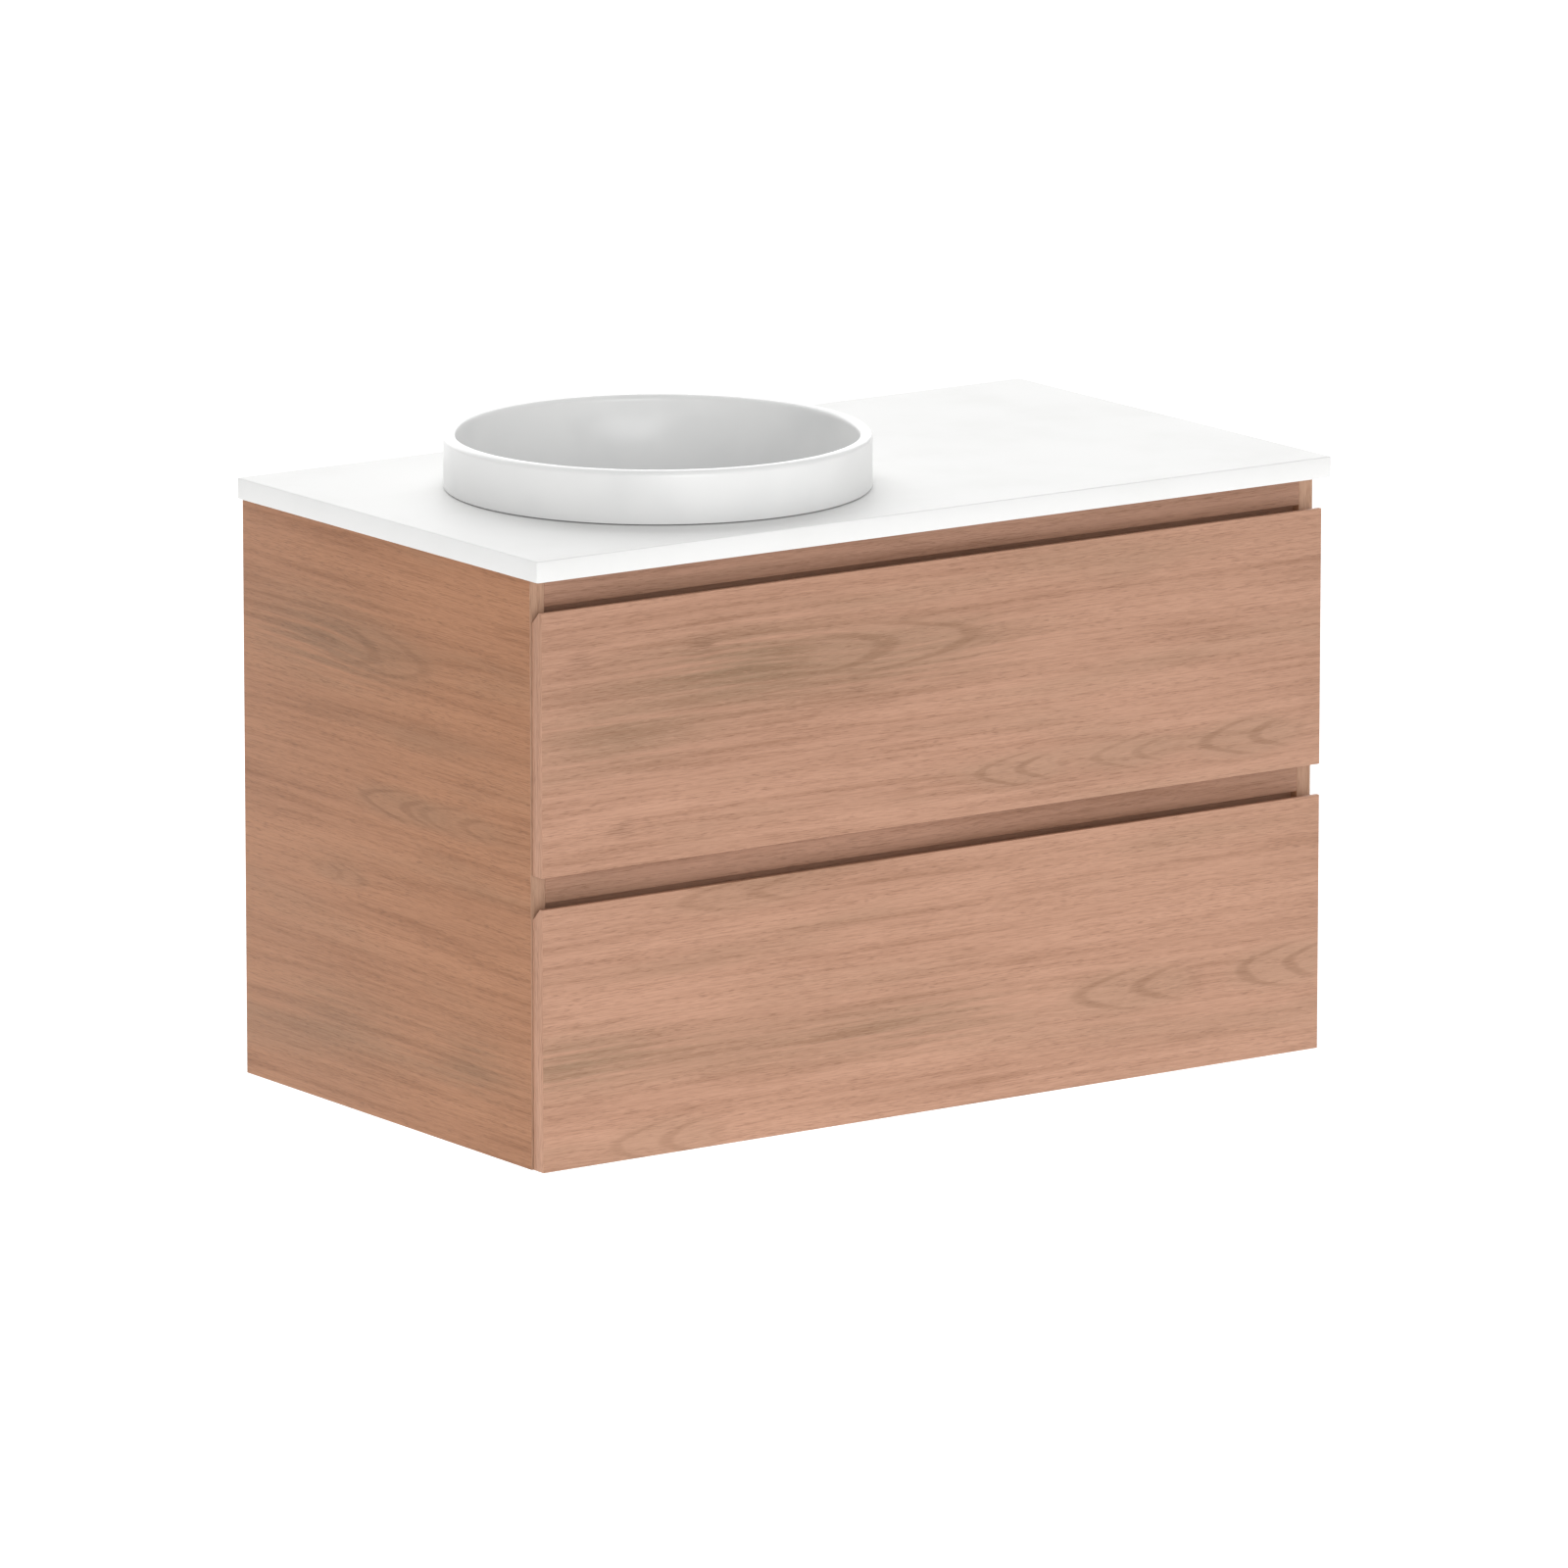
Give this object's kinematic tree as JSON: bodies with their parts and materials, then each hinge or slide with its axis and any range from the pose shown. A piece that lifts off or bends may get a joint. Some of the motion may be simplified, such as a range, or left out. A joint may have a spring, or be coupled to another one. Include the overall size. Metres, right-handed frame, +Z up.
{
  "type": "wall-hung vanity with basin",
  "caption": "Wall-hung wood-grain vanity with handleless bevel-pull drawers, a thin white worktop and a semi-recessed round basin set to the left.",
  "frame": {"origin": "centre of the bottom of the whole object's box; the wall plane is at y = +0.25 m", "axes": "+Z up, +X to the viewer's right along the width, -Y out of the drawer fronts"},
  "size_m": [0.9, 0.5, 0.621],
  "materials": {
    "wood_laminate": "satin open-pore laminate with a horizontal grain",
    "light_board": "pale melamine board",
    "worktop": "matt white solid surface",
    "basin": "satin white glaze",
    "rubber": "soft matt",
    "chrome_fittings": "polished",
    "trap_plastic": "smooth white",
    "zinc": "cast zinc",
    "galvanised_steel": "galvanised",
    "screw_steel": "zinc plated",
    "catch_plastic": "moulded grey",
    "lever_plastic": "moulded orange"
  },
  "bodies": {
    "cabinet": {"basin": "basin", "basin_seal": "rubber", "bottom_panel": "light_board", "bracket_screws": "screw_steel", "cam_locks": "zinc", "front_rail_middle": "wood_laminate", "front_rail_upper": "wood_laminate", "hanger_brackets": "galvanised_steel", "lower_runner_left": "galvanised_steel", "lower_runner_right": "galvanised_steel", "outlet_pipe": "chrome_fittings", "rear_rail_lower": "light_board", "rear_rail_upper": "light_board", "runner_screws": "screw_steel", "side_panel_left": "wood_laminate", "side_panel_right": "wood_laminate", "tailpiece": "chrome_fittings", "trap_body": "trap_plastic", "trap_cup": "trap_plastic", "trap_inlet_nut": "trap_plastic", "trap_outlet_nut": "trap_plastic", "union_nut": "trap_plastic", "upper_runner_left": "galvanised_steel", "upper_runner_right": "galvanised_steel", "wall_rosette": "chrome_fittings", "waste_body": "chrome_fittings", "waste_nut": "trap_plastic", "waste_seal": "rubber", "waste_washer": "rubber", "worktop": "worktop"},
    "upper_drawer": {"upper_back_left": "light_board", "upper_back_right": "light_board", "upper_bottom": "light_board", "upper_catches": "catch_plastic", "upper_drawer_members": "galvanised_steel", "upper_front": "wood_laminate", "upper_front_screws": "screw_steel", "upper_inner_front": "light_board", "upper_notch_front": "light_board", "upper_notch_left": "light_board", "upper_notch_right": "light_board", "upper_side_left": "light_board", "upper_side_right": "light_board"},
    "lower_drawer": {"lower_back": "light_board", "lower_bottom": "light_board", "lower_catches": "catch_plastic", "lower_drawer_members": "galvanised_steel", "lower_front": "wood_laminate", "lower_front_screws": "screw_steel", "lower_inner_front": "light_board", "lower_side_left": "light_board", "lower_side_right": "light_board"},
    "upper_runner_middle": {"upper_middle_members": "galvanised_steel"},
    "lower_runner_middle": {"lower_middle_members": "galvanised_steel"},
    "plug": {"waste_plug": "chrome_fittings"},
    "upper_release_left": {"upper_lever_left": "lever_plastic"},
    "upper_release_right": {"upper_lever_right": "lever_plastic"},
    "lower_release_left": {"lower_lever_left": "lever_plastic"},
    "lower_release_right": {"lower_lever_right": "lever_plastic"}
  },
  "joints": [
    {"name": "upper_drawer_slide", "type": "slide", "parent": "cabinet", "child": "upper_drawer", "axis": [0, -1, 0], "range_m": [0, 0.43]},
    {"name": "upper_middle_slide", "type": "slide", "parent": "cabinet", "child": "upper_runner_middle", "axis": [0, -1, 0], "range_m": [0, 0.215]},
    {"name": "lower_drawer_slide", "type": "slide", "parent": "cabinet", "child": "lower_drawer", "axis": [0, -1, 0], "range_m": [0, 0.43]},
    {"name": "lower_middle_slide", "type": "slide", "parent": "cabinet", "child": "lower_runner_middle", "axis": [0, -1, 0], "range_m": [0, 0.215]},
    {"name": "upper_lever_left_turn", "type": "hinge", "parent": "upper_drawer", "child": "upper_release_left", "pos_m": [-0.373, -0.19, 0.3007], "axis": [0, 0, 1], "range_deg": [0, 12], "stiffness_Nm_per_rad": 0.02},
    {"name": "upper_lever_right_turn", "type": "hinge", "parent": "upper_drawer", "child": "upper_release_right", "pos_m": [0.373, -0.19, 0.3007], "axis": [0, 0, -1], "range_deg": [0, 12], "stiffness_Nm_per_rad": 0.02},
    {"name": "lower_lever_left_turn", "type": "hinge", "parent": "lower_drawer", "child": "lower_release_left", "pos_m": [-0.373, -0.19, 0.0267], "axis": [0, 0, 1], "range_deg": [0, 12], "stiffness_Nm_per_rad": 0.02},
    {"name": "lower_lever_right_turn", "type": "hinge", "parent": "lower_drawer", "child": "lower_release_right", "pos_m": [0.373, -0.19, 0.0267], "axis": [0, 0, -1], "range_deg": [0, 12], "stiffness_Nm_per_rad": 0.02},
    {"name": "plug_click", "type": "slide", "parent": "cabinet", "child": "plug", "axis": [0, 0, 1], "range_m": [0, 0.008]}
  ],
  "couplings": [
    {"joint": "upper_middle_slide", "follows": "upper_drawer_slide", "ratio": 0.5},
    {"joint": "lower_middle_slide", "follows": "lower_drawer_slide", "ratio": 0.5}
  ]
}
